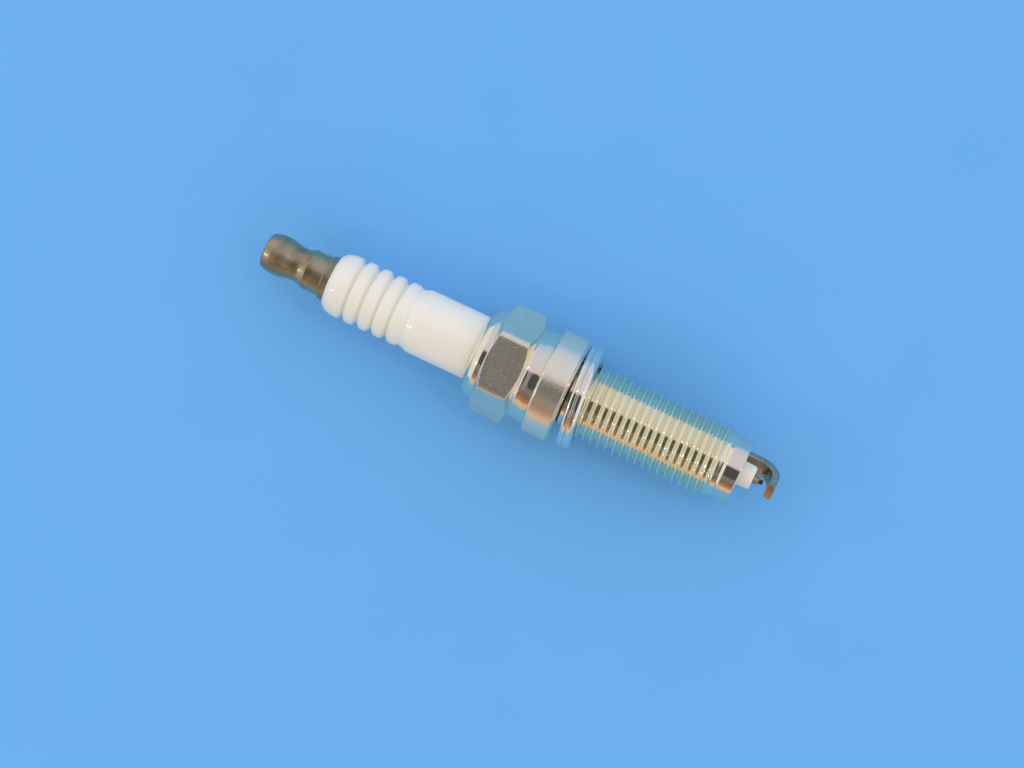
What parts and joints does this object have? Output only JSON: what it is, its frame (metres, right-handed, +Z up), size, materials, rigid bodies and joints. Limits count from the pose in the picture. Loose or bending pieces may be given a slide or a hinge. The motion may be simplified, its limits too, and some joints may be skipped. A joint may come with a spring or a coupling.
{
  "type": "spark plug",
  "caption": "Spark plug with a ribbed white insulator, solid terminal, hexagon shell, long fine thread, loose seat gasket, fine-wire tip and bent ground strap.",
  "frame": {"origin": "on the plug's axis, in the plane of the collar's seat, where the threaded part begins", "axes": "+X along the plug's axis towards the firing end, +Z up as the plug lies on its side, with two hexagon flats facing up and down"},
  "size_m": [0.0867, 0.018, 0.017],
  "materials": {
    "shell_plate": "gloss",
    "terminal_nickel": "gloss",
    "white_glaze": "gloss",
    "nickel_alloy": "satin",
    "copper": "satin",
    "iridium": "satin",
    "conductive_glass": "gloss",
    "resistor_carbon": "matte",
    "packing_steel": "satin",
    "pressed_talc": "matte",
    "gasket_plate": "gloss"
  },
  "bodies": {
    "plug": {"terminal_stud": "terminal_nickel", "insulator": "white_glaze", "upper_glass_seal": "conductive_glass", "resistor": "resistor_carbon", "lower_glass_seal": "conductive_glass", "center_electrode": "nickel_alloy", "center_electrode_core": "copper", "iridium_tip": "iridium", "shell": "shell_plate", "upper_packing_ring": "packing_steel", "talc_seal": "pressed_talc", "lower_packing_ring": "packing_steel", "seat_packing": "packing_steel", "ground_electrode": "nickel_alloy"},
    "gasket": {"gasket": "gasket_plate"}
  },
  "joints": [
    {"name": "gasket_tilt", "type": "hinge", "parent": "plug", "child": "gasket", "pos_m": [0.00187, 0, 0], "axis": [0, 0, 1], "range_deg": [-9.4, 0]}
  ]
}
